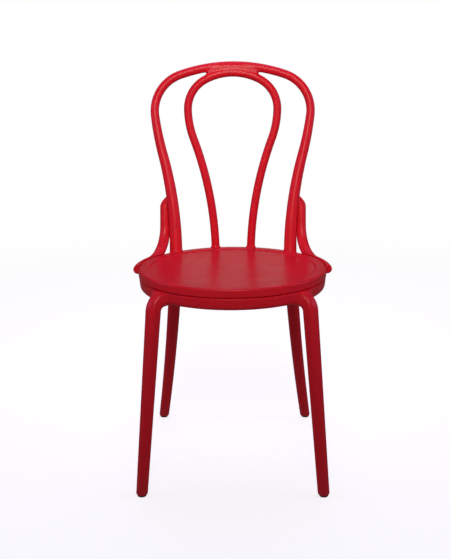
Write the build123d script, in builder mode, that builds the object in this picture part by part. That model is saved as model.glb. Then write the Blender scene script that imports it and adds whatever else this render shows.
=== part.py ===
"""A moulded plastic bistro chair in the bentwood style: a round seat on a ring with four legs,
a double-hoop back and two hip braces, bolted together from below.

Millimetres, +X to the right as seen from the front, +Y to the back, +Z up.
Everything is laid out about the seat's axis and moved to the footprint's centre at the end.
"""

import os
from math import acos, atan2, cos, degrees, hypot, radians, sin, sqrt

from build123d import *

os.makedirs("parts", exist_ok=True)

# Seat panel
seat_height = 450.0
seat_radius = 205.0
panel_depth = 18.0
panel_skin = 4.0
skirt_wall = 4.0
edge_round = 5.0
rim_band = 22.0
rim_step = 2.5
step_run = 4.0
dish_depth = 3.0
dish_flat_radius = 40.0
skirt_chamfer = 1.2
rib_wall = 2.5
rib_circles = (60.0, 120.0)
radial_ribs = 12

# Apron ring of the base frame
seam_gap = 2.0
apron_drop = 26.0
apron_set_in = 1.0
apron_draft = 1.5
apron_foot_in = 8.0
apron_foot_rise = 10.0
apron_foot_bulge = 1.5
apron_lip = 1.2
apron_bottom_land = 5.0
flange_width = 26.0
gusset_count = 24
gusset_wall = 3.0
gusset_drop = 18.0

# Front legs: a straight tapered leg that bends into the apron
front_foot_x = 191.5
front_foot_y = -200.0
front_knee_angle = -42.76
front_knee_stand_out = 16.64
front_knee_drop = 14.0
front_foot_width = 22.0
front_knee_width = 28.5
corner_share = 0.35
knee_bend_radius = 30.0

# Rear legs: a sabre curve in line with the back posts
rear_foot_x = 179.5
rear_foot_y = 246.0
rear_bow = 10.0
rear_foot_width = 24.0
rear_head_width = 31.0

# Glides under the feet
glide_height = 4.0
glide_width = 19.0
stem_width = 8.0
stem_length = 18.0
foot_round = 2.0

# Back frame, outer hoop: across the chair and up the leaning plane, from the seat's top
outer_post_angle = 48.33
outer_post_set_in = 4.2
outer_lean = 13.5
outer_crown = 433.5
outer_shoulder = (122.0, 413.0)
outer_widest = (181.2, 317.5)
outer_waist = (163.5, 228.0)
outer_tube = 19.9
outer_post_width = 29.8

# Back frame, inner hoop
inner_post_angle = 77.9
inner_post_set_in = 4.55
inner_lean = 7.0
inner_crown = 408.8
inner_shoulder = (64.0, 393.0)
inner_widest = (104.7, 324.3)
inner_waist = (91.8, 256.0)
inner_tube = 18.9
inner_post_width = 19.4

# Web that ties the two crowns
web_half_length = 58.0
web_rise = 4.2
web_thickness = 11.0

# Post stubs and their sockets
outer_stub_width = 22.0
inner_stub_width = 13.0
stub_length = 44.0
socket_floor_gap = 1.0
socket_wall = 4.0
boss_margin = 1.2
stub_bolt_drop = 12.0

# Hip braces
brace_width = 20.0
brace_stand_out = 4.0
brace_front_angle = 1.5
brace_upright_beside = 27.2
brace_upright_behind = 3.0
brace_rise = 115.0
brace_cut_normal = (0.74, -0.25, 0.62)
brace_end_round = 1.5
brace_screw_share = 0.84
brace_seat_screw_angles = (7.0, 19.0)

# Fasteners
hex_socket_width = 3.0
hex_socket_depth = 1.8
bolt_width = 5.0
bolt_length = 14.0
bolt_head_width = 9.5
bolt_head_height = 2.8
washer_width = 12.0
washer_thickness = 1.0
insert_width = 7.0
insert_length = 8.0
insert_depth = 1.6
spot_face_width = 13.0
screw_width = 4.0
screw_head_width = 6.4
screw_head_height = 2.5
seat_screw_length = 13.0
post_screw_length = 30.0
counterbore_width = 9.0
counterbore_depth = 8.0
panel_screw_length = 13.0
panel_screw_inset = 10.0
panel_screw_angles = (20.0, 160.0, 200.0, 340.0)
panel_boss_width = 11.0

# Clearances
fit = 0.25
thread_gap = 0.1
screw_seat_gap = 0.05
cap_recess = 1.5
cap_thickness = 2.0
overrun = 10.0

# Levels and radii that follow from the sizes above
panel_bottom = seat_height - panel_depth
panel_ceiling = seat_height - rim_step - dish_depth - panel_skin
apron_top = panel_bottom - seam_gap
apron_bottom = apron_top - apron_drop
brace_level = seat_height - panel_depth / 2
brace_screw_level = panel_ceiling - screw_head_width / 2 - fit
flange_top = brace_screw_level - screw_head_width / 2 - fit
rib_bottom = flange_top + fit
apron_radius = seat_radius - apron_set_in
spigot_radius = seat_radius - skirt_wall - 2 * fit
wall_inner_radius = apron_radius - apron_foot_in - apron_bottom_land
flange_inner_radius = wall_inner_radius - flange_width
panel_screw_radius = flange_inner_radius + panel_screw_inset
brace_run_radius = seat_radius + brace_stand_out
stub_bolt_z = apron_top - stub_bolt_drop
screw_bore = screw_width + 2 * thread_gap
up = Vector(0, 0, 1)


def polar(radius, angle, z=0.0):
    """A point at a radius and an angle from +X about the seat's axis."""
    return Vector(radius * cos(radians(angle)), radius * sin(radians(angle)), z)


def outward(point):
    """The level unit vector from the seat's axis through a point."""
    return Vector(point.X, point.Y, 0).normalized()


def at_level(base, heading, z):
    """The point at a level on the straight line through base along heading."""
    return base + heading * ((z - base.Z) / heading.Z)


def hoop_plane(y, lean):
    """The plane a hoop lies in: its own X across the chair, its own Y up the hoop."""
    return Plane((0, y, seat_height), x_dir=(1, 0, 0), z_dir=(0, -cos(radians(lean)), sin(radians(lean))))


def hoop_path(plane, crown, shoulder, widest, waist, post_x):
    """Half of a hoop's centreline, from the crown down to the seat, as tangent arcs."""
    with BuildLine() as path:
        top = TangentArc((0, crown), shoulder, tangent=(1, 0))
        side = TangentArc(shoulder, widest, tangent=top % 1)
        flank = TangentArc(widest, waist, tangent=side % 1)
        TangentArc(waist, (post_x, 0), tangent=flank % 1)
    return plane.from_local_coords(path.wires()[0])


def hoop_half(path, normal, tube_width, post_width, grow=0.0):
    """A round tube along half a hoop, thickening from its widest place down to the post."""
    edges = path.edges().sort_by(Axis.Z, reverse=True)
    lengths = [edge.length for edge in edges]
    share = sum(lengths[:2]) / sum(lengths)
    with BuildPart() as tube:
        middle = (share + 1) / 2
        stations = (
            (0, tube_width),
            (share, tube_width),
            (middle, (tube_width + post_width) / 2),
            (1, post_width),
        )
        for place, width in stations:
            with BuildSketch(Plane(path @ place, x_dir=normal, z_dir=path % place)):
                Circle(width / 2 + grow)
        sweep(path=path, multisection=True)
    return tube.part


def rod(start, end, width):
    """A plain round rod between two points."""
    start, end = Vector(start), Vector(end)
    with BuildPart() as piece:
        with BuildSketch(Plane(start, z_dir=end - start)):
            Circle(width / 2)
        extrude(amount=(end - start).length)
    return piece.part


def foot_bore(foot, leg_up):
    """The hole in a foot that takes a glide's stem."""
    bore_end = foot + leg_up * (glide_height + stem_length + 2 * fit)
    return rod(foot - leg_up * overrun, bore_end, stem_width + 2 * fit)


# The posts go straight on down from the ends of the hoops, where they meet the seat's top
outer_base = polar(seat_radius - outer_post_set_in, outer_post_angle, seat_height)
inner_base = polar(seat_radius - inner_post_set_in, inner_post_angle, seat_height)
outer_plane = hoop_plane(outer_base.Y, outer_lean)
inner_plane = hoop_plane(inner_base.Y, inner_lean)
outer_path = hoop_path(outer_plane, outer_crown, outer_shoulder, outer_widest, outer_waist, outer_base.X)
inner_path = hoop_path(inner_plane, inner_crown, inner_shoulder, inner_widest, inner_waist, inner_base.X)
outer_up = outer_path % 1 * -1
inner_up = inner_path % 1 * -1
posts = (
    (outer_base, outer_up, outer_post_width, outer_stub_width),
    (inner_base, inner_up, inner_post_width, inner_stub_width),
)


def crown_radius(crown, shoulder):
    """Radius of a hoop's top arc, which starts level at the crown and ends at the shoulder."""
    drop = crown - shoulder[1]
    return (shoulder[0] ** 2 + drop**2) / (2 * drop)


# Bolted joints between the post stubs and the base frame
post_joints = [(at_level(base, heading, stub_bolt_z), stub_width) for base, heading, _, stub_width in posts]


def bolt_seat(joint, stub_width):
    """Where a bolt's washer rests, on the inner face of a socket's wall."""
    return joint - outward(joint) * (stub_width / 2 + fit + socket_wall)


def insert_start(joint, stub_width):
    """The inner end of a threaded insert, just under the stub's skin."""
    return joint - outward(joint) * (stub_width / 2 - insert_depth)


def bolt_bore(joint, stub_width):
    """The clearance hole along a post bolt, through the wall and past the bolt's tip."""
    seat = bolt_seat(joint, stub_width)
    return rod(seat, seat + outward(joint) * bolt_length, bolt_width + 4 * thread_gap)


def insert_bore(joint, stub_width):
    """The pocket a threaded insert is pressed into, open at the stub's inner side."""
    start = insert_start(joint, stub_width)
    return rod(
        start - outward(joint) * overrun,
        start + outward(joint) * insert_length,
        insert_width + 2 * thread_gap,
    )


def brace_seat_screw(angle):
    """Where a brace's seat screw starts, inside the skirt, and the way it points."""
    start = polar(seat_radius - skirt_wall, angle, brace_screw_level)
    return start, outward(start)


def post_width_at(share):
    """Width of the outer hoop's tube, near enough, at a share of the way down from its crown."""
    edges = outer_path.edges().sort_by(Axis.Z, reverse=True)
    taper_start = (edges[0].length + edges[1].length) / outer_path.length
    return outer_tube + (outer_post_width - outer_tube) * (share - taper_start) / (1 - taper_start)


def brace_post_screw():
    """Where the screw from post to brace bears, inside the post, and the way it points."""
    inner_skin = outer_path @ brace_screw_share - Vector(post_width_at(brace_screw_share) / 2, 0, 0)
    return inner_skin + Vector(counterbore_depth, 0, 0), Vector(1, 0, 0)


def brace_post_screw_bore():
    """The hole for the screw from post to brace."""
    start, heading = brace_post_screw()
    return rod(start, start + heading * (post_screw_length + fit), screw_bore)


# Back frame: both hoops, the web and the four stubs are one moulding
with BuildPart() as back_frame:
    add(hoop_half(outer_path, outer_plane.z_dir, outer_tube, outer_post_width))
    add(hoop_half(inner_path, inner_plane.z_dir, inner_tube, inner_post_width))
    for base, heading, post_width, stub_width in posts:
        add(rod(base, base - heading * (panel_depth + overrun), post_width))
    split(bisect_by=Plane.XY.offset(apron_top + fit), keep=Keep.TOP)
    for base, heading, post_width, stub_width in posts:
        add(rod(base, base - heading * stub_length, stub_width))
    for joint, stub_width in post_joints:
        add(bolt_bore(joint, stub_width), mode=Mode.SUBTRACT)
        add(insert_bore(joint, stub_width), mode=Mode.SUBTRACT)
    screw_start, screw_heading = brace_post_screw()
    counterbore_mouth = screw_start - screw_heading * outer_post_width
    add(rod(counterbore_mouth, screw_start, counterbore_width), mode=Mode.SUBTRACT)
    add(brace_post_screw_bore(), mode=Mode.SUBTRACT)
    mirror(about=Plane.YZ)
    with BuildSketch(inner_plane):
        web_radius = crown_radius(inner_crown, inner_shoulder)
        with Locations((0, inner_crown - web_radius)):
            Circle(web_radius + inner_tube / 2 + web_rise)
            Circle(web_radius, mode=Mode.SUBTRACT)
        with Locations((0, inner_crown)):
            Rectangle(2 * web_half_length, web_radius, mode=Mode.INTERSECT)
    extrude(amount=web_thickness / 2, both=True)


def post_clearance(base, heading, width):
    """The room a post needs above the apron, where it passes the flange and the seat's rim."""
    low = at_level(base, heading, apron_bottom)
    high = at_level(base, heading, seat_height + overrun)
    with BuildPart() as room:
        add(rod(low, high, width + 2 * fit))
        split(bisect_by=Plane.XY.offset(apron_top), keep=Keep.TOP)
    return room.part


# Seat panel: a dished disc with a raised rim, a skirt and ribs beneath
with BuildPart() as seat_panel:
    with BuildSketch(Plane.XZ):
        with BuildLine():
            rim_inner = seat_radius - rim_band
            groove = (rim_inner - step_run, seat_height - rim_step)
            dish_floor = groove[1] - dish_depth
            Line((0, dish_floor), (dish_flat_radius, dish_floor))
            dish = TangentArc((dish_flat_radius, dish_floor), groove, tangent=(1, 0))
            Spline(groove, (rim_inner, seat_height), tangents=(dish % 1, (1, 0)))
            Line((rim_inner, seat_height), (seat_radius - edge_round, seat_height))
            edge_start = (seat_radius - edge_round, seat_height)
            TangentArc(edge_start, (seat_radius, seat_height - edge_round), tangent=(1, 0))
            Polyline(
                (seat_radius, seat_height - edge_round),
                (seat_radius, panel_bottom + skirt_chamfer),
                (seat_radius - skirt_chamfer, panel_bottom),
                (seat_radius - skirt_wall, panel_bottom),
                (seat_radius - skirt_wall, panel_ceiling),
                (0, panel_ceiling),
                (0, dish_floor),
            )
        make_face()
    revolve(axis=Axis.Z)
    with BuildSketch(Plane.XY.offset(rib_bottom)):
        Circle(panel_screw_radius + panel_boss_width)
        Circle(panel_screw_radius + panel_boss_width - rib_wall, mode=Mode.SUBTRACT)
        for radius in rib_circles:
            Circle(radius)
            Circle(radius - rib_wall, mode=Mode.SUBTRACT)
        spoke = panel_screw_radius + panel_boss_width - rib_circles[0]
        with PolarLocations(rib_circles[0] + spoke / 2 - rib_wall / 2, radial_ribs):
            Rectangle(spoke - rib_wall / 2, rib_wall)
    extrude(amount=panel_ceiling - rib_bottom)
    with BuildSketch(Plane.XY.offset(rib_bottom)):
        for angle in panel_screw_angles:
            with Locations(polar(panel_screw_radius, angle)):
                Circle(panel_boss_width / 2)
    extrude(amount=panel_ceiling - rib_bottom)
    for angle in panel_screw_angles:
        pilot_start = polar(panel_screw_radius, angle, rib_bottom)
        add(rod(pilot_start, pilot_start + up * panel_screw_length, screw_bore), mode=Mode.SUBTRACT)
    split(bisect_by=Plane.YZ, keep=Keep.TOP)
    for base, heading, post_width, stub_width in posts:
        add(post_clearance(base, heading, post_width), mode=Mode.SUBTRACT)
    for angle in brace_seat_screw_angles:
        start, heading = brace_seat_screw(angle)
        add(rod(start - heading, start + heading * overrun, screw_bore), mode=Mode.SUBTRACT)
    mirror(about=Plane.YZ)


# Base frame: the apron ring, its flange and the four legs are one moulding
knee = polar(apron_radius + front_knee_stand_out, front_knee_angle, apron_bottom - front_knee_drop)
front_foot = Vector(front_foot_x, front_foot_y, 0)
front_up = (knee - front_foot).normalized()
knee_inward = outward(knee) * -1
knee_turn = front_up.cross(knee_inward).normalized()
knee_centre = knee + knee_turn.cross(front_up) * knee_bend_radius
knee_angle = degrees(acos(front_up.dot(knee_inward)))
rear_head = at_level(outer_base, outer_up, apron_top - rear_head_width / 2)
rear_foot = Vector(rear_foot_x, rear_foot_y, 0)
rear_splay = outward(rear_foot - rear_head)
rear_middle = (rear_head + rear_foot) / 2 - rear_splay * rear_bow
rear_up = (rear_middle - rear_foot).normalized()


def front_leg():
    """A tapered leg of rounded square section that bends over into the apron."""
    foot_plane = Plane(front_foot, x_dir=knee_turn, z_dir=front_up)
    knee_plane = Plane(knee, x_dir=knee_turn, z_dir=front_up)
    with BuildPart() as leg:
        with BuildSketch(foot_plane):
            RectangleRounded(front_foot_width, front_foot_width, front_foot_width * corner_share)
        with BuildSketch(knee_plane):
            RectangleRounded(front_knee_width, front_knee_width, front_knee_width * corner_share)
        loft()
        with BuildSketch(knee_plane):
            RectangleRounded(front_knee_width, front_knee_width, front_knee_width * corner_share)
        revolve(axis=Axis(knee_centre, knee_turn), revolution_arc=knee_angle)
    return leg.part


def rear_leg():
    """A round leg that curves outwards and back, in line with the back's outer post."""
    with BuildLine() as path:
        ThreePointArc(rear_head, rear_middle, rear_foot)
    curve = path.wires()[0]
    with BuildPart() as leg:
        for place, width in ((0, rear_head_width), (1, rear_foot_width)):
            with BuildSketch(Plane(curve @ place, x_dir=(1, 0, 0), z_dir=curve % place)):
                Circle(width / 2)
        sweep(path=curve, multisection=True)
    return leg.part


def post_boss(base, heading, stub_width):
    """The socket's body under a post, cut level with the apron's top."""
    with BuildPart() as boss:
        bottom = at_level(base, heading, apron_bottom)
        add(rod(bottom, base, stub_width + 2 * (fit + socket_wall + boss_margin)))
        split(bisect_by=Plane.XY.offset(apron_top), keep=Keep.BOTTOM)
    return boss.part


with BuildPart() as base_frame:
    with BuildSketch(Plane.XZ):
        with BuildLine():
            taper_radius = apron_radius - apron_draft
            taper_level = apron_bottom + apron_foot_rise
            foot_radius = apron_radius - apron_foot_in
            Polyline(
                (foot_radius, apron_bottom),
                (wall_inner_radius, apron_bottom),
                (wall_inner_radius, apron_top),
                (flange_inner_radius, apron_top),
                (flange_inner_radius, flange_top),
                (spigot_radius, flange_top),
                (spigot_radius, apron_top),
                (apron_radius - apron_lip, apron_top),
                (apron_radius, apron_top - apron_lip),
                (taper_radius, taper_level),
            )
            SagittaArc((taper_radius, taper_level), (foot_radius, apron_bottom), -apron_foot_bulge)
        make_face()
    revolve(axis=Axis.Z)
    with BuildSketch(Plane.XY.offset(apron_top - gusset_drop)):
        with PolarLocations(flange_inner_radius + flange_width / 2 + gusset_wall / 2, gusset_count):
            Rectangle(flange_width, gusset_wall)
    extrude(amount=gusset_drop)
    add(front_leg())
    add(rear_leg())
    for base, heading, post_width, stub_width in posts:
        add(post_boss(base, heading, stub_width))
    split(bisect_by=Plane.YZ, keep=Keep.TOP)
    split(bisect_by=Plane.XY.offset(glide_height), keep=Keep.TOP)
    for foot, leg_up in ((front_foot, front_up), (rear_foot, rear_up)):
        add(foot_bore(foot, leg_up), mode=Mode.SUBTRACT)
    for base, heading, post_width, stub_width in posts:
        add(post_clearance(base, heading, post_width), mode=Mode.SUBTRACT)
        socket_floor = base - heading * (stub_length + socket_floor_gap)
        add(rod(socket_floor, base, stub_width + 2 * fit), mode=Mode.SUBTRACT)
    for joint, stub_width in post_joints:
        add(bolt_bore(joint, stub_width), mode=Mode.SUBTRACT)
        seat = bolt_seat(joint, stub_width)
        add(rod(seat - outward(joint) * overrun, seat, spot_face_width), mode=Mode.SUBTRACT)
    mirror(about=Plane.YZ)
    for angle in panel_screw_angles:
        hole_start = polar(panel_screw_radius, angle, apron_bottom)
        hole_end = hole_start + up * (flange_top - apron_bottom + overrun)
        add(rod(hole_start, hole_end, screw_bore + 2 * thread_gap), mode=Mode.SUBTRACT)


# Hip braces: each follows the seat's edge, then sweeps up beside the outer post
brace_base = outer_base + Vector(brace_upright_beside, brace_upright_behind, 0)
brace_top = at_level(brace_base, outer_up, seat_height + brace_rise)


def brace_centreline():
    """Level arc round the seat, a bend, and an upright that leans with the post."""
    corner = at_level(brace_base, outer_up, brace_level)
    reach = hypot(corner.X, corner.Y)
    tangent_length = sqrt(reach**2 - brace_run_radius**2)
    leave_angle = degrees(atan2(corner.Y, corner.X) - acos(brace_run_radius / reach))
    bend_end = corner + outer_up * tangent_length
    with BuildLine() as path:
        run_angle = leave_angle - brace_front_angle
        run = CenterArc((0, 0, brace_level), brace_run_radius, brace_front_angle, run_angle)
        bend = TangentArc(run @ 1, bend_end, tangent=run % 1)
        Line(bend @ 1, brace_top + outer_up * brace_width)
    return path.wires()[0]


with BuildPart() as hip_brace_right:
    centreline = brace_centreline()
    with BuildSketch(Plane(centreline @ 0, x_dir=(0, 0, 1), z_dir=centreline % 0)):
        Circle(brace_width / 2)
    sweep(path=centreline)
    fillet(hip_brace_right.faces().sort_by(Axis.Y)[0].edges(), brace_end_round)
    with BuildSketch(Plane.XY.offset(panel_bottom - brace_width)):
        Circle(seat_radius + fit)
    extrude(amount=panel_depth + brace_width + fit, mode=Mode.SUBTRACT)
    add(hoop_half(outer_path, outer_plane.z_dir, outer_tube, outer_post_width, fit), mode=Mode.SUBTRACT)
    with BuildSketch(Plane(brace_top, z_dir=brace_cut_normal)):
        Rectangle(3 * brace_width, 3 * brace_width)
    extrude(amount=2 * brace_width, mode=Mode.SUBTRACT)
    for angle in brace_seat_screw_angles:
        start, heading = brace_seat_screw(angle)
        add(rod(start, start + heading * seat_screw_length, screw_bore), mode=Mode.SUBTRACT)
    add(brace_post_screw_bore(), mode=Mode.SUBTRACT)

with BuildPart() as hip_brace_left:
    mirror(hip_brace_right.part, about=Plane.YZ)


# Glides: a round pad under each foot, with a stem pushed up into the leg
def glide(foot, leg_up, side):
    """A glide whose pad lies flat on the floor."""
    foot = Vector(side * foot.X, foot.Y, 0)
    leg_up = Vector(side * leg_up.X, leg_up.Y, leg_up.Z)
    pad_centre = foot + leg_up * glide_height
    with BuildPart() as pad:
        with BuildSketch(Plane((pad_centre.X, pad_centre.Y, 0))):
            Circle(glide_width / 2)
        extrude(amount=glide_height - fit)
        fillet(pad.faces().sort_by(Axis.Z)[0].edges(), foot_round)
        add(rod(foot + leg_up * glide_height / 2, foot + leg_up * (glide_height + stem_length), stem_width))
    return pad.part


def bolt(start, heading, width, length, head_width, head_height):
    """A domed-head fastener: its head's underside is at start, its shank runs along heading."""
    head_plane = Plane(start, z_dir=heading * -1)
    with BuildPart() as piece:
        with BuildSketch(head_plane):
            Circle(head_width / 2)
        extrude(amount=head_height)
        fillet(piece.edges().sort_by(Axis(start, heading))[0], head_height / 2)
        with BuildSketch(head_plane.offset(head_height)):
            RegularPolygon(hex_socket_width / 2, 6)
        extrude(amount=-hex_socket_depth, mode=Mode.SUBTRACT)
        add(rod(start, start + heading * length, width))
    return piece.part


def ring(start, heading, outer, bore, length):
    """A plain washer or sleeve that starts at a point and runs along heading."""
    with BuildPart() as piece:
        with BuildSketch(Plane(start, z_dir=heading)):
            Circle(outer / 2)
            Circle(bore / 2, mode=Mode.SUBTRACT)
        extrude(amount=length)
    return piece.part


def washer_start(joint, stub_width):
    """The inner face of a post bolt's washer, which the bolt's head bears on."""
    return bolt_seat(joint, stub_width) - outward(joint) * washer_thickness


with BuildPart() as post_washers:
    for joint, stub_width in post_joints:
        start = washer_start(joint, stub_width)
        add(ring(start, outward(joint), washer_width, bolt_width + 2 * thread_gap, washer_thickness))
    mirror(about=Plane.YZ)

with BuildPart() as post_bolts:
    for joint, stub_width in post_joints:
        start = washer_start(joint, stub_width)
        add(bolt(start, outward(joint), bolt_width, bolt_length, bolt_head_width, bolt_head_height))
    mirror(about=Plane.YZ)

with BuildPart() as post_inserts:
    for joint, stub_width in post_joints:
        start = insert_start(joint, stub_width)
        add(ring(start, outward(joint), insert_width, bolt_width + 2 * thread_gap, insert_length - fit))
    mirror(about=Plane.YZ)

with BuildPart() as brace_seat_screws:
    for angle in brace_seat_screw_angles:
        start, heading = brace_seat_screw(angle)
        start -= heading * screw_seat_gap
        add(bolt(start, heading, screw_width, seat_screw_length, screw_head_width, screw_head_height))
    mirror(about=Plane.YZ)

with BuildPart() as brace_post_screws:
    start, heading = brace_post_screw()
    add(bolt(start, heading, screw_width, post_screw_length, screw_head_width, screw_head_height))
    mirror(about=Plane.YZ)

with BuildPart() as screw_caps:
    start, heading = brace_post_screw()
    mouth = start - heading * (counterbore_depth - cap_recess)
    add(rod(mouth, mouth + heading * cap_thickness, counterbore_width - fit))
    mirror(about=Plane.YZ)

with BuildPart() as panel_screws:
    for angle in panel_screw_angles:
        start = polar(panel_screw_radius, angle, apron_top)
        add(bolt(start, up, screw_width, panel_screw_length, screw_head_width, screw_head_height))

pieces = {
    "seat_panel": seat_panel,
    "base_frame": base_frame,
    "back_frame": back_frame,
    "hip_brace_left": hip_brace_left,
    "hip_brace_right": hip_brace_right,
    "post_bolts": post_bolts,
    "post_washers": post_washers,
    "post_inserts": post_inserts,
    "brace_seat_screws": brace_seat_screws,
    "brace_post_screws": brace_post_screws,
    "screw_caps": screw_caps,
    "panel_screws": panel_screws,
}
solids = {name: piece.part for name, piece in pieces.items()}
for end, foot, leg_up in (("front", front_foot, front_up), ("rear", rear_foot, rear_up)):
    solids[f"glide_{end}_left"] = glide(foot, leg_up, -1)
    solids[f"glide_{end}_right"] = glide(foot, leg_up, 1)

# Stand the chair with the centre of its footprint over the origin
frame_box = base_frame.part.bounding_box()
back_box = back_frame.part.bounding_box()
footprint_centre = (min(frame_box.min.Y, back_box.min.Y) + max(frame_box.max.Y, back_box.max.Y)) / 2
for name, solid in solids.items():
    placed = solid.moved(Location((0, -footprint_centre, 0)))
    placed.label = name
    export_step(placed, f"parts/{name}.step")
print(f"seat axis stands at y = {-footprint_centre:.3f} mm")
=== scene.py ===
import math

import bpy
import numpy as np
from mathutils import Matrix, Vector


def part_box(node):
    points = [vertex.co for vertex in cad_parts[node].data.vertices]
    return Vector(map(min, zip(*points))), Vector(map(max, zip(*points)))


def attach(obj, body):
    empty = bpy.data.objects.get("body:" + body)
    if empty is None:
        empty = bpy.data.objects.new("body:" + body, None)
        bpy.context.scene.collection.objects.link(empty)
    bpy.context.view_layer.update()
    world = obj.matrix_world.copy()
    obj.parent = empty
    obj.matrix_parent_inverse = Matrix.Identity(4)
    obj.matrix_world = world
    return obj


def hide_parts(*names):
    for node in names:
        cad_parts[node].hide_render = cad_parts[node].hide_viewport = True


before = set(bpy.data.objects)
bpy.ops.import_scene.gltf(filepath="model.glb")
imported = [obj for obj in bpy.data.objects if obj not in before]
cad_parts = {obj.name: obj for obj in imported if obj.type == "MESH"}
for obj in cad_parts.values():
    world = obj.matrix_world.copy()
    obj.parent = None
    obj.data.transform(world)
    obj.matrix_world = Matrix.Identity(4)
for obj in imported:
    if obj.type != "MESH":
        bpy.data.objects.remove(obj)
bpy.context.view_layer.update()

import openvdb
from mathutils import Matrix

# Places read from the frame
seat_low, seat_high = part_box("seat_panel")
base_low, base_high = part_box("base_frame")
caps_low, caps_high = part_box("screw_caps")
axis_y = (seat_low.y + seat_high.y) / 2
seat_top = seat_high.z
seat_radius = (seat_high.x - seat_low.x) / 2
foot_level = base_low.z
flange_top = base_high.z

# Apron ring
seam_gap = 0.002
apron_drop = 0.026
apron_set_in = 0.001
apron_draft = 0.0015
apron_foot_in = 0.008
apron_foot_rise = 0.010
apron_foot_bulge = 0.0015
apron_lip = 0.0012
apron_land = 0.005
flange_width = 0.026
spigot_set_in = 0.0045
gusset_count = 24
gusset_wall = 0.003
gusset_drop = 0.018
apron_top = seat_low.z - seam_gap
apron_bottom = apron_top - apron_drop
apron_radius = seat_radius - apron_set_in
wall_inner = apron_radius - apron_foot_in - apron_land
flange_inner = wall_inner - flange_width

# Front legs
front_foot = np.array((0.1915, -0.200, 0.0))
knee_angle_round = math.radians(-42.76)
knee_stand_out = 0.01664
knee_drop = 0.014
front_foot_width = 0.022
front_knee_width = 0.0285
corner_share = 0.35
knee_radius = 0.030

# Rear legs
rear_foot = np.array((0.1795, 0.246, 0.0))
rear_bow = 0.010
rear_foot_width = 0.024
rear_head_width = 0.031

# Hoops: across the chair and up the leaning plane, from the seat's top
outer_lean = math.radians(13.5)
outer_spot = (0.2008, math.radians(48.33))
outer_hoop = ((0, 0.4335), (0.122, 0.413), (0.1812, 0.3175), (0.1635, 0.228))
outer_tube = 0.0199
outer_post = 0.0298
outer_stub = 0.022
inner_lean = math.radians(7.0)
inner_spot = (0.20045, math.radians(77.9))
inner_hoop = ((0, 0.4088), (0.064, 0.393), (0.1047, 0.3243), (0.0918, 0.256))
inner_tube = 0.0189
inner_post = 0.0194
inner_stub = 0.013
stub_length = 0.044
web_half_length = 0.058
web_rise = 0.0042
web_thickness = 0.011

# Sockets and bolts under the posts
socket_wall = 0.004
boss_margin = 0.0012
fit = 0.00025
bolt_level = apron_top - 0.012
spot_face_width = 0.013
spot_face_depth = 0.010

# Hip braces
brace_width = 0.020
brace_radius = seat_radius + 0.004
brace_front_angle = math.radians(1.5)
brace_beside = np.array((0.0272, 0.003, 0.0))
brace_rise = 0.115
brace_cut_normal = np.array((0.65, -0.60, 1.00))
brace_cut_rise = -0.002
brace_flank = np.array((-0.0045, 0.0020, 0.0))
brace_flank_fillet = 0.003
brace_level = (seat_low.z + seat_top) / 2
cap_bore_width = 0.009
cap_recess = 0.0015
cap_thickness = 0.002
cap_bore_depth = 0.008

# How softly the moulded parts run together
knee_fillet = 0.020
rear_fillet = 0.012
boss_fillet = 0.003
crown_fillet = 0.007
edge_fillet = 0.002
collar_grow = 0.002
collar_height = 0.0004
collar_fillet = 0.005
post_overlap = 0.001
collar_overlap = 0.004
post_below_seat = 0.020

# Spacing of the sampled fields
base_step = 0.0021
back_step = 0.0015
brace_step = 0.0011
cap_step = 0.0005
REACH = 0.030


def unit(vector):
    return vector / np.linalg.norm(vector)


def around(radius, angle, z=0.0):
    """A point at a radius and an angle from +X about the seat's axis."""
    return np.array((radius * math.cos(angle), radius * math.sin(angle), z))


def outward(point):
    """The level unit vector away from the seat's axis."""
    return unit(np.array((point[0], point[1], 0.0)))


class Grid:
    """Evenly spaced sample points about the seat's axis."""

    def __init__(self, low, high, step):
        self.low = np.array(low, float)
        self.step = step
        counts = np.ceil((np.array(high) - self.low) / step).astype(int) + 1
        self.axes = [start + step * np.arange(count) for start, count in zip(low, counts)]
        self.shape = tuple(counts)

    def window(self, low, high):
        """The block of samples between two corners."""
        return tuple(slice(*np.searchsorted(axis, span)) for axis, span in zip(self.axes, zip(low, high)))

    def points(self, block=(slice(None),) * 3):
        spans = (axis[span] for axis, span in zip(self.axes, block))
        return np.meshgrid(*spans, indexing="ij", sparse=True)

    def nothing(self):
        return np.full(self.shape, REACH, np.float32)


def blend(a, b, width):
    """The union of two fields with a fillet where they meet."""
    share = np.clip(0.5 + 0.5 * (b - a) / width, 0, 1)
    return b + (a - b) * share - width * share * (1 - share)


def trim(a, b, width):
    """The overlap of two fields with a rounded edge."""
    return -blend(-a, -b, width)


def tube(grid, path, radii):
    """A round tube along a chain of close points."""
    field = grid.nothing()
    for start, end, r0, r1 in zip(path, path[1:], radii, radii[1:]):
        reach = max(r0, r1) + REACH
        block = grid.window(np.minimum(start, end) - reach, np.maximum(start, end) + reach)
        x, y, z = grid.points(block)
        run = end - start
        along = (x - start[0]) * run[0] + (y - start[1]) * run[1] + (z - start[2]) * run[2]
        share = np.clip(along / (run @ run), 0, 1)
        gap_x = x - start[0] - share * run[0]
        gap_y = y - start[1] - share * run[1]
        gap_z = z - start[2] - share * run[2]
        distance = np.sqrt(gap_x**2 + gap_y**2 + gap_z**2) - r0 - share * (r1 - r0)
        np.minimum(field[block], distance, out=field[block])
    return field


def rounded_square(u, v, half, corner):
    """Distance to a square section with rounded corners."""
    over_u = np.abs(u) - half + corner
    over_v = np.abs(v) - half + corner
    outside = np.sqrt(np.maximum(over_u, 0) ** 2 + np.maximum(over_v, 0) ** 2)
    return outside + np.minimum(np.maximum(over_u, over_v), 0) - corner


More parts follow.
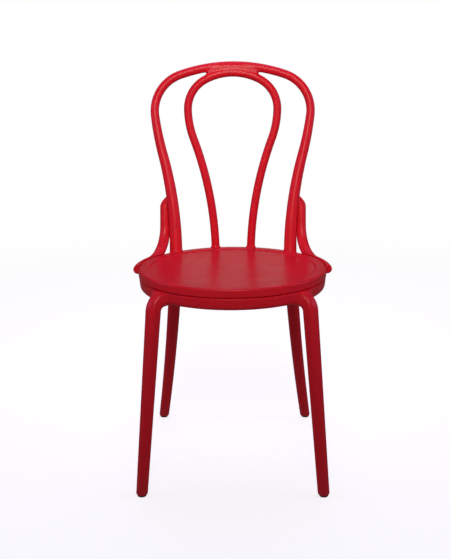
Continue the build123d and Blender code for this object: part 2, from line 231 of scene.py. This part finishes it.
def polygon(points, r, z):
    """Distance to a closed outline in the half plane of radius and height."""
    nearest = np.full(np.broadcast(r, z).shape, np.inf)
    sign = np.ones(nearest.shape)
    for (ar, az), (br, bz) in zip(points, points[1:] + points[:1]):
        er, ez = br - ar, bz - az
        wr, wz = r - ar, z - az
        share = np.clip((wr * er + wz * ez) / (er * er + ez * ez), 0, 1)
        nearest = np.minimum(nearest, (wr - er * share) ** 2 + (wz - ez * share) ** 2)
        above_start, below_end, left = z >= az, z < bz, er * wz > ez * wr
        crosses = (above_start & below_end & left) | (~above_start & ~below_end & ~left)
        sign = np.where(crosses, -sign, sign)
    return sign * np.sqrt(nearest)


def arc_chain(points, end, spacing=0.003):
    """Points along arcs that touch each other, starting level at the first of the given points."""
    tangent = np.array((1.0, 0.0))
    chain = [np.array(points[0], float)]
    for start, stop in zip(points, points[1:] + (end,)):
        start, stop = np.array(start, float), np.array(stop, float)
        chord = stop - start
        length = np.linalg.norm(chord)
        half_turn = math.atan2(tangent[0] * chord[1] - tangent[1] * chord[0], tangent @ chord)
        count = max(int(length / spacing), 2)
        for share in np.linspace(0, 1, count + 1)[1:]:
            turn = share * half_turn
            reach = length * math.sin(turn) / math.sin(half_turn)
            heading = turned(tangent, turn)
            chain.append(start + heading * reach)
        tangent = turned(tangent, 2 * half_turn)
    return np.array(chain), tangent


def turned(vector, angle):
    """A plane vector turned anticlockwise."""
    c, s = math.cos(angle), math.sin(angle)
    return np.array((c * vector[0] - s * vector[1], s * vector[0] + c * vector[1]))


def skin(name, grid, field, mirrored):
    """The surface of a field as a mesh object, mirrored about x = 0 if only its right half is sampled."""
    values = np.concatenate((field[:0:-1], field)) if mirrored else field
    volume = openvdb.FloatGrid(REACH)
    volume.copyFromArray(np.ascontiguousarray(values, np.float32))
    points, quads = volume.convertToQuads(0.0)
    corner = grid.low.copy()
    if mirrored:
        corner[0] = -grid.step * (grid.shape[0] - 1)
    points = points * grid.step + corner
    points[:, 1] += axis_y
    mesh = bpy.data.meshes.new(name)
    mesh.from_pydata(points.tolist(), [], quads[:, ::-1].tolist())
    mesh.validate()
    mesh.shade_smooth()
    piece = bpy.data.objects.new(name, mesh)
    bpy.context.scene.collection.objects.link(piece)
    return piece


# Where the posts stand and which way they run down
def hoop(spot, lean, outline):
    """A hoop's centreline from its crown to the seat, its foot, and the way up its post."""
    foot = around(*spot, seat_top)
    flat, tangent = arc_chain(outline, (foot[0], 0.0))
    up_plane = np.array((0, math.sin(lean), math.cos(lean)))
    across, rise = flat[:, 0], flat[:, 1]
    path = np.stack((across, foot[1] + rise * up_plane[1], seat_top + rise * up_plane[2]), axis=1)
    up = -(tangent[0] * np.array((1.0, 0, 0)) + tangent[1] * up_plane)
    return path, foot, up


def at_level(base, heading, z):
    return base + heading * ((z - base[2]) / heading[2])


outer_path, outer_base, outer_up = hoop(outer_spot, outer_lean, outer_hoop)
inner_path, inner_base, inner_up = hoop(inner_spot, inner_lean, inner_hoop)
posts = ((outer_base, outer_up, outer_stub, outer_post), (inner_base, inner_up, inner_stub, inner_post))


def hoop_radii(path, outline, tube_width, post_width):
    """A hoop's radius at each point: even down to its widest place, then growing to the post."""
    steps = np.linalg.norm(np.diff(path, axis=0), axis=1)
    travelled = np.concatenate(([0], np.cumsum(steps)))
    widest = travelled[np.argmax(path[:, 0])]
    share = np.clip((travelled - widest) / (travelled[-1] - widest), 0, 1)
    return (tube_width + (post_width - tube_width) * share) / 2


# Base frame
def apron_field(grid):
    """The apron ring, without its flange and gussets."""
    taper_radius = apron_radius - apron_draft
    taper_level = apron_bottom + apron_foot_rise
    foot_radius = apron_radius - apron_foot_in
    outline = [
        (foot_radius, apron_bottom),
        (wall_inner, apron_bottom),
        (wall_inner, apron_top),
        (apron_radius - apron_lip, apron_top),
        (apron_radius, apron_top - apron_lip),
        (taper_radius, taper_level),
    ]
    run = np.array((foot_radius - taper_radius, apron_bottom - taper_level))
    across = unit(np.array((-run[1], run[0])))
    for share in (0.2, 0.4, 0.6, 0.8):
        bulge = 4 * share * (1 - share) * apron_foot_bulge
        point = np.array((taper_radius, taper_level)) + run * share + across * bulge
        outline.append(tuple(point))
    radii = np.arange(wall_inner - REACH, apron_radius + REACH, grid.step / 4)
    table = polygon(outline, radii[:, None], grid.axes[2][None, :])
    x, y, _ = grid.points()
    place = np.hypot(x, y)[..., 0]
    place = np.clip((place - radii[0]) / (radii[1] - radii[0]), 0, len(radii) - 1.001)
    index = place.astype(int)
    part = (place - index)[..., None]
    return (table[index] * (1 - part) + table[index + 1] * part).astype(np.float32)


def front_leg_field(grid):
    """A tapered leg of rounded square section, bent over at the knee into the apron."""
    knee = around(apron_radius + knee_stand_out, knee_angle_round, apron_bottom - knee_drop)
    inward = -outward(knee)
    up = unit(knee - front_foot)
    side = unit(np.cross(up, inward))
    away = np.cross(up, side)
    if away @ inward > 0:
        away = -away
    length = np.linalg.norm(knee - front_foot)
    centre = knee - away * knee_radius
    x, y, z = grid.points()

    def along(origin, axis):
        return (x - origin[0]) * axis[0] + (y - origin[1]) * axis[1] + (z - origin[2]) * axis[2]

    height = along(front_foot, up)
    width = front_foot_width + (front_knee_width - front_foot_width) * np.clip(height / length, 0, 1)
    across = along(front_foot, side)
    straight = rounded_square(across, along(front_foot, away), width / 2, width * corner_share)
    lift = along(centre, up)
    reach = along(centre, away)
    bent = np.hypot(lift, reach) - knee_radius
    curve = rounded_square(across, bent, front_knee_width / 2, front_knee_width * corner_share)
    turn = math.acos(up @ inward)
    end = centre + (away * math.cos(turn) + up * math.sin(turn)) * knee_radius
    curve = np.maximum(curve, along(end, inward))
    return np.minimum(np.where(height < length, straight, curve), REACH).astype(np.float32)


def rear_leg_path():
    """A rear leg's centreline: a slow curve from under the post out to its foot."""
    head = at_level(outer_base, outer_up, apron_top - rear_head_width / 2)
    splay = outward(rear_foot - head)
    share = np.linspace(0, 1, 90)[:, None]
    return head + (rear_foot - head) * share - splay * rear_bow * 4 * share * (1 - share)


def rod_field(grid, start, end, width):
    """A round rod with flat ends."""
    axis = unit(end - start)
    x, y, z = grid.points()
    along = (x - start[0]) * axis[0] + (y - start[1]) * axis[1] + (z - start[2]) * axis[2]
    square = (x - start[0]) ** 2 + (y - start[1]) ** 2 + (z - start[2]) ** 2
    beside = np.sqrt(np.maximum(square - along**2, 0)) - width / 2
    past = np.maximum(-along, along - np.linalg.norm(end - start))
    return np.maximum(beside, past).astype(np.float32)


def gussets_field(grid):
    """Thin radial plates under the flange."""
    x, y, z = grid.points()
    radius = np.hypot(x, y)
    sector = 2 * math.pi / gusset_count
    angle = np.arctan2(y, x)
    folded = angle - sector * np.round(angle / sector)
    plate = np.abs(radius * np.sin(folded)) - gusset_wall / 2
    span = np.abs(radius - flange_inner - flange_width / 2) - flange_width / 2
    level = np.abs(z - apron_top + gusset_drop / 2) - gusset_drop / 2
    return np.maximum(np.maximum(plate, span), level).astype(np.float32)


def make_base():
    grid = Grid((0, -0.216, 0), (0.212, 0.264, flange_top + 2 * base_step), base_step)
    x, y, z = grid.points()
    field = blend(apron_field(grid), front_leg_field(grid), knee_fillet)
    path = rear_leg_path()
    radii = np.linspace(rear_head_width, rear_foot_width, len(path)) / 2
    field = blend(field, tube(grid, path, radii), rear_fillet)
    for base, heading, stub_width, _ in posts:
        boss_width = stub_width + 2 * (fit + socket_wall + boss_margin)
        boss = rod_field(grid, at_level(base, heading, apron_bottom), base, boss_width)
        field = blend(field, boss, boss_fillet)
    field = trim(field, z - apron_top, edge_fillet)
    field = np.minimum(field, gussets_field(grid))
    radius = np.hypot(x, y)
    flange_middle = (flange_inner + seat_radius - spigot_set_in) / 2
    flange_half = (seat_radius - spigot_set_in - flange_inner) / 2
    flange = np.maximum(z - flange_top, apron_top - z)
    flange = np.maximum(np.abs(radius - flange_middle) - flange_half, flange)
    for base, heading, _, post_width in posts:
        room = rod_field(grid, at_level(base, heading, apron_bottom), base, post_width + 2 * fit)
        flange = np.maximum(flange, -room)
    field = np.minimum(field, flange)
    for base, heading, stub_width, _ in posts:
        joint = at_level(base, heading, bolt_level)
        face = joint - outward(joint) * (stub_width / 2 + fit + socket_wall)
        spot_face = rod_field(grid, face - outward(joint) * spot_face_depth, face, spot_face_width)
        field = np.maximum(field, -spot_face)
    field = trim(field, foot_level - z, edge_fillet)
    return skin("base_moulding", grid, field, mirrored=True)


# Back frame
def make_back():
    grid = Grid((0, 0.100, apron_top - 0.040), (0.200, 0.270, 0.890), back_step)
    x, y, z = grid.points()
    outer = tube(grid, outer_path, hoop_radii(outer_path, outer_hoop, outer_tube, outer_post))
    inner = tube(grid, inner_path, hoop_radii(inner_path, inner_hoop, inner_tube, inner_post))
    # The web fills the space between the crowns, in the inner hoop's plane
    crown, shoulder = inner_hoop[0], inner_hoop[1]
    drop = crown[1] - shoulder[1]
    bend = (shoulder[0] ** 2 + drop**2) / (2 * drop)
    rise = (y - inner_base[1]) * math.sin(inner_lean) + (z - seat_top) * math.cos(inner_lean)
    proud = (y - inner_base[1]) * math.cos(inner_lean) - (z - seat_top) * math.sin(inner_lean)
    from_centre = np.hypot(x, rise - crown[1] + bend)
    web = np.maximum(from_centre - bend - inner_tube / 2 - web_rise, bend - from_centre)
    web = np.maximum(web, np.abs(x) - web_half_length)
    web = np.maximum(web, crown[1] - bend - rise)
    web = trim(web, np.abs(proud) - web_thickness / 2, edge_fillet).astype(np.float32)
    field = blend(blend(outer, inner, crown_fillet), web, crown_fillet)
    for base, heading, stub_width, post_width in posts:
        below = at_level(base, heading, apron_top + fit)
        field = np.minimum(field, rod_field(grid, below, base + heading * post_overlap, post_width))
        collar = np.maximum(
            rod_field(grid, below, base + heading * collar_overlap, post_width + 2 * collar_grow),
            np.abs(z - seat_top - collar_height) - collar_height,
        )
        collar = np.maximum(collar, np.hypot(x, y) - seat_radius + collar_grow)
        field = blend(field, collar.astype(np.float32), collar_fillet)
        stub = rod_field(grid, base - heading * stub_length, base, stub_width)
        above_apron = apron_top + fit - z
        field = np.minimum(np.maximum(field, above_apron), stub)
    cap_y = (caps_low.y + caps_high.y) / 2 - axis_y
    cap_z = (caps_low.z + caps_high.z) / 2
    mouth = caps_high.x - cap_thickness - cap_recess
    bore = rod_field(
        grid,
        np.array((mouth - cap_bore_depth, cap_y, cap_z)),
        np.array((mouth + cap_bore_depth, cap_y, cap_z)),
        cap_bore_width,
    )
    field = np.maximum(field, -bore)
    return skin("back_moulding", grid, field, mirrored=True)


# Hip braces
def brace_path():
    """A brace's centreline: level round the seat, then a bend up beside the post."""
    base = outer_base + brace_beside
    corner = at_level(base, outer_up, brace_level)
    reach = math.hypot(corner[0], corner[1])
    tangent_length = math.sqrt(reach**2 - brace_radius**2)
    leave = math.atan2(corner[1], corner[0]) - math.acos(brace_radius / reach)
    run = [around(brace_radius, angle, brace_level) for angle in np.linspace(brace_front_angle, leave, 50)]
    heading = np.array((-math.sin(leave), math.cos(leave), 0.0))
    turn = math.acos(heading @ outer_up)
    bend = tangent_length / math.tan(turn / 2)
    across = unit(outer_up - heading * (outer_up @ heading))
    curve = [
        run[-1] + bend * (math.sin(angle) * heading + (1 - math.cos(angle)) * across)
        for angle in np.linspace(0, turn, 40)[1:]
    ]
    top = at_level(base, outer_up, seat_top + brace_rise)
    return run, curve, top


def make_brace(side):
    run, curve, top = brace_path()
    grid = Grid((0.125, -0.012, 0.425), (0.226, 0.205, 0.590), brace_step)
    x, y, z = grid.points()
    path = np.array(run + curve + [top, top + outer_up * brace_width])
    start_heading = np.array((-math.sin(brace_front_angle), math.cos(brace_front_angle), 0.0))
    path = np.concatenate(([path[0] - start_heading * brace_width], path))
    radii = np.full(len(path), brace_width / 2)
    field = blend(tube(grid, path, radii), tube(grid, path + brace_flank, radii), brace_flank_fillet)
    front = -((x - run[0][0]) * start_heading[0] + (y - run[0][1]) * start_heading[1])
    field = trim(field, front, edge_fillet)
    seat = np.maximum(np.hypot(x, y) - seat_radius - fit, z - seat_top - fit)
    field = trim(field, -seat, edge_fillet)
    post = tube(grid, outer_path, hoop_radii(outer_path, outer_hoop, outer_tube, outer_post) + fit)
    lower = rod_field(grid, outer_base - outer_up * post_below_seat, outer_base, outer_post + 2 * fit)
    post = np.minimum(post, lower)
    field = trim(field, -post, edge_fillet)
    normal = unit(brace_cut_normal)
    cut = (x - top[0]) * normal[0] + (y - top[1]) * normal[1] + (z - top[2] - brace_cut_rise) * normal[2]
    cut = np.where(z > seat_top + brace_width, cut, -REACH)
    field = trim(field, cut, edge_fillet)
    brace = skin("brace_" + side, grid, field, mirrored=False)
    if side == "left":
        brace.data.transform(Matrix.Scale(-1, 4, (1, 0, 0)))
        brace.data.flip_normals()
    return brace


def make_cap(side):
    """A flush cap over a brace screw's head: the post's own surface, inside the bore."""
    cap_y = (caps_low.y + caps_high.y) / 2 - axis_y
    cap_z = (caps_low.z + caps_high.z) / 2
    back = np.array((caps_high.x, cap_y, cap_z))
    front = back - np.array((cap_bore_depth, 0, 0))
    grid = Grid(front - cap_bore_width, back + cap_bore_width, cap_step)
    post = tube(grid, outer_path, hoop_radii(outer_path, outer_hoop, outer_tube, outer_post))
    plug = rod_field(grid, front, back, cap_bore_width - 2 * fit)
    cap = skin("cap_" + side, grid, trim(post, plug, fit), mirrored=False)
    if side == "left":
        cap.data.transform(Matrix.Scale(-1, 4, (1, 0, 0)))
        cap.data.flip_normals()
    return cap


# Materials
def new_material(name, colour, roughness, metallic=0.0):
    material = bpy.data.materials.new(name)
    material.use_nodes = True
    shader = material.node_tree.nodes["Principled BSDF"]
    shader.inputs["Base Color"].default_value = (*colour, 1)
    shader.inputs["Roughness"].default_value = roughness
    shader.inputs["Metallic"].default_value = metallic
    return material, material.node_tree, shader


def noise(tree, scale, detail=3.0, stretch=(1, 1, 1)):
    """A noise pattern fixed to the object, its scale in waves to the metre."""
    place = tree.nodes.new("ShaderNodeTexCoord")
    size = tree.nodes.new("ShaderNodeMapping")
    size.inputs["Scale"].default_value = stretch
    pattern = tree.nodes.new("ShaderNodeTexNoise")
    pattern.inputs["Scale"].default_value = scale
    pattern.inputs["Detail"].default_value = detail
    tree.links.new(place.outputs["Object"], size.inputs["Vector"])
    tree.links.new(size.outputs["Vector"], pattern.inputs["Vector"])
    return pattern.outputs["Fac"]


def ranged(tree, value, low, high, start=0.3, stop=0.7):
    """A value mapped from start..stop to low..high."""
    node = tree.nodes.new("ShaderNodeMapRange")
    node.inputs["From Min"].default_value = start
    node.inputs["From Max"].default_value = stop
    node.inputs["To Min"].default_value = low
    node.inputs["To Max"].default_value = high
    tree.links.new(value, node.inputs["Value"])
    return node.outputs["Result"]


def mixed(tree, factor, first, second):
    """A colour between two colours."""
    node = tree.nodes.new("ShaderNodeMix")
    node.data_type = "RGBA"
    tree.links.new(factor, node.inputs["Factor"])
    for socket, colour in ((6, first), (7, second)):
        if isinstance(colour, tuple):
            node.inputs[socket].default_value = (*colour, 1)
        else:
            tree.links.new(colour, node.inputs[socket])
    return node.outputs[2]


def bumped(tree, shader, height, distance, strength=1.0):
    node = tree.nodes.new("ShaderNodeBump")
    node.inputs["Distance"].default_value = distance
    node.inputs["Strength"].default_value = strength
    tree.links.new(height, node.inputs["Height"])
    tree.links.new(node.outputs["Normal"], shader.inputs["Normal"])


def moulded_plastic(name, colour, deep_colour, smooth, rough):
    """Satin polypropylene: a fine grain, faint flow marks, uneven sheen and a duller foot."""
    material, tree, shader = new_material(name, colour, smooth)
    flow = noise(tree, 14, 2, (1, 1, 0.35))
    base = mixed(tree, ranged(tree, flow, 0, 1), colour, deep_colour)
    place = tree.nodes.new("ShaderNodeTexCoord")
    split = tree.nodes.new("ShaderNodeSeparateXYZ")
    tree.links.new(place.outputs["Object"], split.inputs["Vector"])
    near_floor = ranged(tree, split.outputs["Z"], 0.5, 0, 0.0, 0.05)
    dusty = tuple(0.72 * part + 0.02 for part in colour)
    tree.links.new(mixed(tree, near_floor, base, dusty), shader.inputs["Base Color"])
    rub = ranged(tree, noise(tree, 18, 1), smooth, rough)
    tree.links.new(rub, shader.inputs["Roughness"])
    bumped(tree, shader, noise(tree, 700, 0), 0.00001)
    shader.inputs["IOR"].default_value = 1.49
    shader.inputs["Specular IOR Level"].default_value = 0.2
    return material


def metal(name, colour, roughness, stretch):
    """Plated or turned metal with fine marks along one way."""
    material, tree, shader = new_material(name, colour, roughness, 1.0)
    marks = noise(tree, 900, 3, stretch)
    tree.links.new(ranged(tree, marks, roughness * 0.7, roughness * 1.4), shader.inputs["Roughness"])
    worn = tuple(0.8 * part for part in colour)
    patches = ranged(tree, noise(tree, 250), 0, 1)
    tree.links.new(mixed(tree, patches, colour, worn), shader.inputs["Base Color"])
    bumped(tree, shader, marks, 0.00002)
    return material


red = moulded_plastic("moulded_red", (0.80, 0.0095, 0.026), (0.76, 0.0085, 0.023), 0.27, 0.34)
cap_red = moulded_plastic("cap_red", (0.78, 0.0095, 0.025), (0.74, 0.0085, 0.022), 0.33, 0.42)
glide_dark = moulded_plastic("glide_dark", (0.055, 0.012, 0.014), (0.045, 0.010, 0.012), 0.50, 0.65)
zinc_steel = metal("zinc_steel", (0.62, 0.63, 0.64), 0.30, (1, 1, 6))
insert_brass = metal("insert_brass", (0.78, 0.62, 0.30), 0.28, (6, 1, 1))

# Pieces
pieces = {
    "base_frame": make_base(),
    "back_frame": make_back(),
    "hip_brace_right": make_brace("right"),
    "hip_brace_left": make_brace("left"),
}
for node, piece in pieces.items():
    piece.data.materials.append(red)
    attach(piece, "root")
    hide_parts(node)
for side in ("left", "right"):
    cap = make_cap(side)
    cap.data.materials.append(cap_red)
    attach(cap, "root")
    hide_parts("screw_caps")

node_materials = {
    "seat_panel": red,
    "post_bolts": zinc_steel,
    "post_washers": zinc_steel,
    "post_inserts": insert_brass,
    "brace_seat_screws": zinc_steel,
    "brace_post_screws": zinc_steel,
    "panel_screws": zinc_steel,
}
for end in ("front", "rear"):
    for side in ("left", "right"):
        node_materials[f"glide_{end}_{side}"] = glide_dark
for node, material in node_materials.items():
    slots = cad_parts[node].data.materials
    for index in range(len(slots)):
        slots[index] = material

# Floor and studio light
scene = bpy.context.scene
scene.view_settings.view_transform = "Standard"
floor_radius = 2.6
floor_clear = 1.1
floor_sides = 96
floor_shade = 0.62
floor_glow = 0.76
rim = [around(floor_radius, 2 * math.pi * index / floor_sides) for index in range(floor_sides)]
floor_mesh = bpy.data.meshes.new("floor")
floor_mesh.from_pydata([tuple(point) for point in rim], [], [tuple(range(floor_sides))])
floor = bpy.data.objects.new("floor", floor_mesh)
floor.visible_diffuse = False
floor.visible_glossy = False
scene.collection.objects.link(floor)


def pale_floor():
    """A pale matt floor that runs out softly into the white surroundings."""
    material, tree, shader = new_material("floor_pale", (floor_shade,) * 3, 0.9)
    shader.inputs["Emission Color"].default_value = (1, 1, 1, 1)
    shader.inputs["Emission Strength"].default_value = floor_glow
    place = tree.nodes.new("ShaderNodeTexCoord")
    distance = tree.nodes.new("ShaderNodeVectorMath")
    distance.operation = "LENGTH"
    tree.links.new(place.outputs["Object"], distance.inputs[0])
    solid = ranged(tree, distance.outputs["Value"], 1, 0, floor_clear, floor_radius)
    tree.links.new(solid, shader.inputs["Alpha"])
    return material


floor_mesh.materials.append(pale_floor())


def surroundings():
    """A white background that lights the chair faintly, more from behind it than from the front."""
    world = bpy.data.worlds.new("studio")
    world.use_nodes = True
    tree = world.node_tree
    direction = tree.nodes.new("ShaderNodeTexCoord")
    axes = tree.nodes.new("ShaderNodeSeparateXYZ")
    tree.links.new(direction.outputs["Generated"], axes.inputs["Vector"])
    glow = ranged(tree, axes.outputs["Y"], 0.20, 0.12, -0.6, 0.7)
    seen = tree.nodes.new("ShaderNodeLightPath")
    strength = ranged(tree, seen.outputs["Is Camera Ray"], 0, 1, 0, 1)
    tree.links.new(glow, strength.node.inputs["To Min"])
    tree.links.new(strength, tree.nodes["Background"].inputs["Strength"])
    tree.nodes["Background"].inputs["Color"].default_value = (1, 1, 1, 1)
    return world


scene.world = surroundings()


def softbox(name, place, aim, size, watts, colour, spread=math.pi):
    """A square lamp that faces a point."""
    lamp = bpy.data.lights.new(name, "AREA")
    lamp.shape = "SQUARE"
    lamp.size = size
    lamp.energy = watts
    lamp.spread = spread
    lamp.color = colour
    box = bpy.data.objects.new(name, lamp)
    ray = unit(np.array(place, float) - np.array(aim, float))
    side = unit(np.cross((0.0, 1.0, 0.001), ray))
    lift = np.cross(ray, side)
    matrix = Matrix.Identity(4)
    for column, axis in enumerate((side, lift, ray, place)):
        for row in range(3):
            matrix[row][column] = axis[row]
    box.matrix_world = matrix
    box.visible_camera = False
    scene.collection.objects.link(box)


warm = (1.0, 0.95, 0.85)
cool = (0.95, 0.75, 1.60)
softbox("key", (0.0, -1.2, 1.55), (0, 0.2, 0.80), 0.8, 2.3, warm, math.radians(60))
softbox("top", (0.0, 0.7, 2.0), (0, 0.1, 0.7), 1.2, 5.5, cool)
softbox("behind", (0.0, 2.0, 0.95), (0, 0, 0.5), 0.55, 0.25, warm)
softbox("left_side", (-2.0, 0.0, 1.3), (0, 0.1, 0.7), 1.0, 4, cool)
softbox("right_side", (2.0, 0.0, 1.3), (0, 0.1, 0.7), 1.0, 4.5, cool)

# Camera
camera_height = 0.9435
camera_away = 2.100
camera_turn = 0.0199
camera_tilt = 0.2445
camera_roll = -0.0083
camera_aside = -0.01639
lens_share = 1.7613
camera_data = bpy.data.cameras.new("camera")
camera_data.sensor_width = 36
camera_data.lens = 36 * lens_share
camera_data.clip_end = 100
camera = bpy.data.objects.new("camera", camera_data)
scene.collection.objects.link(camera)
turn = Matrix.Rotation(camera_turn, 4, "Z")
place = turn @ Matrix.Translation((camera_aside, -camera_away, camera_height))
aim = Matrix.Rotation(math.pi / 2 - camera_tilt, 4, "X") @ Matrix.Rotation(camera_roll, 4, "Z")
camera.matrix_world = Matrix.Translation((0, axis_y, 0)) @ place @ aim
scene.camera = camera
